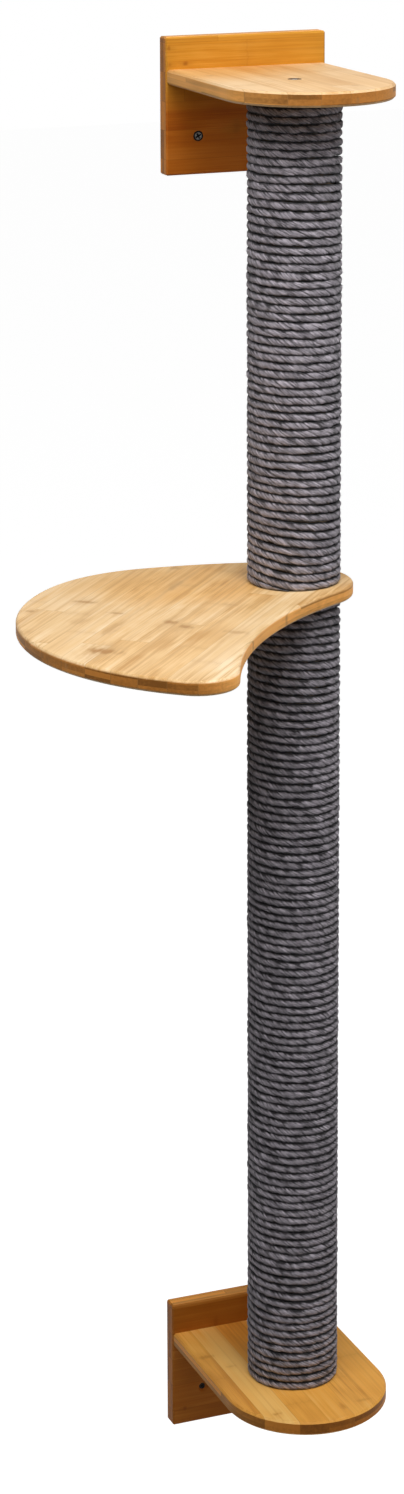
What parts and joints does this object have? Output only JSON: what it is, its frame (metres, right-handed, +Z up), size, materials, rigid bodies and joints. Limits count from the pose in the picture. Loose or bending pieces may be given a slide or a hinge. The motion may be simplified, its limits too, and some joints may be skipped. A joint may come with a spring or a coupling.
{
  "type": "wall mounted cat tree",
  "caption": "Wall mounted cat tree: two bamboo brackets carry a rope-wound scratching post with a leaf-shaped platform clamped part way up, to climb, scratch and rest on.",
  "frame": {"origin": "centre of the bottom wall plate's rear face", "axes": "+X right for someone facing the wall, +Y into the wall, +Z up along the post"},
  "size_m": [0.3879, 0.4196, 1.434],
  "materials": {
    "bamboo": "laminated bamboo board, satin lacquer",
    "rope": "dyed twisted rope, fuzzy",
    "cardboard": "spiral-wound paperboard",
    "plug_wood": "plain softwood",
    "steel": "zinc plated",
    "insert_steel": "yellow zinc plated"
  },
  "bodies": {
    "frame": {"bottom_wall_plate": "bamboo", "bottom_shelf": "bamboo", "bottom_shelf_screws": "steel", "bottom_post_bolt": "steel", "bottom_post_washer": "steel", "top_wall_plate": "bamboo", "top_shelf": "bamboo", "top_shelf_screws": "steel", "top_post_bolt": "steel", "top_post_washer": "steel", "lower_post_tube": "cardboard", "lower_rope": "rope", "lower_post_plugs": "plug_wood", "lower_post_inserts": "insert_steel", "upper_post_tube": "cardboard", "upper_rope": "rope", "upper_post_plugs": "plug_wood", "upper_post_inserts": "insert_steel", "platform_stud": "steel"},
    "platform": {"platform": "bamboo"}
  },
  "joints": [
    {"name": "platform_swing", "type": "hinge", "parent": "frame", "child": "platform", "pos_m": [0, -0.133, 0.8475], "axis": [0, 0, 1], "range_deg": [-12, 143]}
  ]
}
